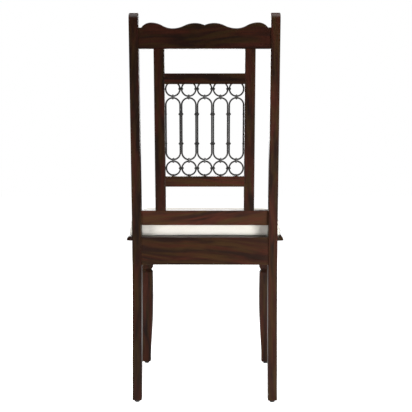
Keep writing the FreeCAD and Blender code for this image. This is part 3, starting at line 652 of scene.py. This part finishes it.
def weltPath(points, setup, slope):
    # for each step of angle in plan, the point of the cover that reaches furthest outward + slope * Z;
    # each point is then drawn to the middle of its neighbours a few times
    steps = setup["steps"]
    middle = (points.max(0) + points.min(0)) / 2
    flat = points[:, :2] - middle[:2]
    index = ((np.arctan2(flat[:, 1], flat[:, 0]) / (2 * math.pi)) % 1.0 * steps).astype(int) % steps
    reach = np.linalg.norm(flat, axis=1) + slope * points[:, 2]
    best = np.full(steps, -np.inf)
    np.maximum.at(best, index, reach)
    chosen = np.nonzero(reach >= best[index])[0]
    path = np.zeros((steps, 3))
    path[index[chosen]] = points[chosen]
    for _ in range(setup["smoothing"]):
        path = (np.roll(path, 1, axis=0) + 2 * path + np.roll(path, -1, axis=0)) / 4
    return path


def makeWelt(name, slope, setup):
    # a circle carried along the path: centre + radius * (cos a * outward + sin a * Z)
    path = weltPath(readPoints(cushionCover.data), setup, slope)
    along = np.roll(path, -1, axis=0) - np.roll(path, 1, axis=0)
    outward = np.cross(along, (0, 0, 1))
    outward /= np.linalg.norm(outward, axis=1, keepdims=True)
    centre = path - outward * setup["sink"]
    centre[:, 2] = np.maximum(centre[:, 2], cushionLow.z + setup["radius"])
    angle = np.linspace(0, 2 * math.pi, setup["around"], endpoint=False)[:, None, None]
    turned = np.cos(angle) * outward[None] + np.sin(angle) * np.array((0, 0, 1.0))
    points = centre[None] + setup["radius"] * turned
    piece = bpy.data.objects.new(name, gridMesh(name, points, endsJoined=True))
    scene.collection.objects.link(piece)
    smoothPiece(piece)
    piece.data.materials.append(cushionCloth)
    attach(piece, "cushion")


makeWelt("cushionWeltLow", -1.0, welt)
makeWelt("cushionWeltHigh", 1.0, welt)
print("welts sewn")


# room: pale floor, white surround, soft lamps
room = {
    "floorHalf": 14.0,     # metres from its middle to its edge
    "floorShown": 0.90,    # how pale the floor is
    "floorGlow": 1.00,     # added to it as seen, so that it stays white to the far edge
    "floorNear": 0.75,     # how pale the chair finds it close by
    "floorFar": 0.10,      # and outside the pool of light
    "pool": (0.9, 3.2),    # metres from the chair between which it fades
    "horizon": 0.06,       # light from the walls at eye height
    "zenith": 0.15,        # and from above
    "lamps": [
        # place, aimed at, side length, watts, spread in degrees
        ((0.0, 0.6, 2.7), (0.0, 0.2, 0.5), 1.8, 48.0, 160),
        ((1.05, 1.35, 0.45), (0.05, 0.20, 0.35), 0.6, 4.4, 100),
        ((-1.05, 1.35, 0.45), (-0.05, 0.20, 0.35), 0.6, 7.8, 100),
        ((-1.05, 1.35, 0.12), (-0.05, 0.20, 0.16), 0.6, 3.4, 100),
        ((0.6, -2.6, 1.6), (0.0, 0.0, 0.5), 1.8, 48.0, 180),
    ],
}


def makeWorld(setup):
    # the walls show white; they light the chair by how high they stand
    world = bpy.data.worlds.new("surround")
    world.use_nodes = True
    tree = world.node_tree
    shown = tree.nodes["Background"]
    shown.inputs["Color"].default_value = (1.0, 1.0, 1.0, 1.0)
    lighting = addNode(tree, "Background")
    place = addNode(tree, "TexCoord")
    parts = addNode(tree, "SeparateXYZ")
    wire(tree, place.outputs["Generated"], parts.inputs[0])
    wire(tree, spread(tree, parts.outputs["Z"], 0.15, 0.60, setup["horizon"], setup["zenith"]),
         lighting.inputs["Strength"])
    path = addNode(tree, "LightPath")
    choose = addNode(tree, "MixShader")
    wire(tree, path.outputs["Is Camera Ray"], choose.inputs["Fac"])
    wire(tree, lighting.outputs[0], choose.inputs[1])
    wire(tree, shown.outputs[0], choose.inputs[2])
    wire(tree, choose.outputs[0], tree.nodes["World Output"].inputs["Surface"])
    scene.world = world


def makeFloorPaper(setup):
    # seamless white paper: it shows white all over, and the chair finds a pool of light that fades outwards
    material, tree, shader = newMaterial("floorPaper")
    seen = addNode(tree, "LightPath").outputs["Is Camera Ray"]
    place = addNode(tree, "TexCoord")
    away = addNode(tree, "VectorMath", operation="LENGTH")
    wire(tree, place.outputs["Object"], away.inputs[0])
    pale = spread(tree, away.outputs["Value"], *setup["pool"], setup["floorNear"], setup["floorFar"])
    wire(tree, blendColor(tree, seen, pale, (setup["floorShown"],) * 3), shader.inputs["Base Color"])
    shader.inputs["Emission Color"].default_value = (1.0, 1.0, 1.0, 1.0)
    wire(tree, calc(tree, "MULTIPLY", seen, setup["floorGlow"]), shader.inputs["Emission Strength"])
    shader.inputs["Roughness"].default_value = 0.9
    shader.inputs["Specular IOR Level"].default_value = 0.0
    return material


def makeLamp(name, place, target, side, watts, spreadAngle):
    light = bpy.data.lights.new(name, "AREA")
    light.shape, light.size, light.energy = "SQUARE", side, watts
    light.spread = math.radians(spreadAngle)
    lamp = bpy.data.objects.new(name, light)
    away = np.array(place, float) - np.array(target, float)
    away /= np.linalg.norm(away)
    sideways = np.cross((0, 0, 1), away)
    sideways /= np.linalg.norm(sideways)
    turn = np.eye(4)
    turn[:3, 0], turn[:3, 1], turn[:3, 2], turn[:3, 3] = sideways, np.cross(away, sideways), away, place
    lamp.matrix_world = Matrix(turn.tolist())
    lamp.visible_camera = False
    scene.collection.objects.link(lamp)


def makeRoom(setup):
    mesh = bpy.data.meshes.new("floor")
    half = setup["floorHalf"]
    corners = [(-half, -half, 0), (half, -half, 0), (half, half, 0), (-half, half, 0)]
    mesh.from_pydata(corners, [], [(0, 1, 2, 3)])
    floor = bpy.data.objects.new("floor", mesh)
    scene.collection.objects.link(floor)
    floor.data.materials.append(makeFloorPaper(setup))
    makeWorld(setup)
    for index, lamp in enumerate(setup["lamps"]):
        makeLamp("lamp%d" % index, *lamp)


makeRoom(room)
scene.view_settings.view_transform = "Standard"
print("room lit")
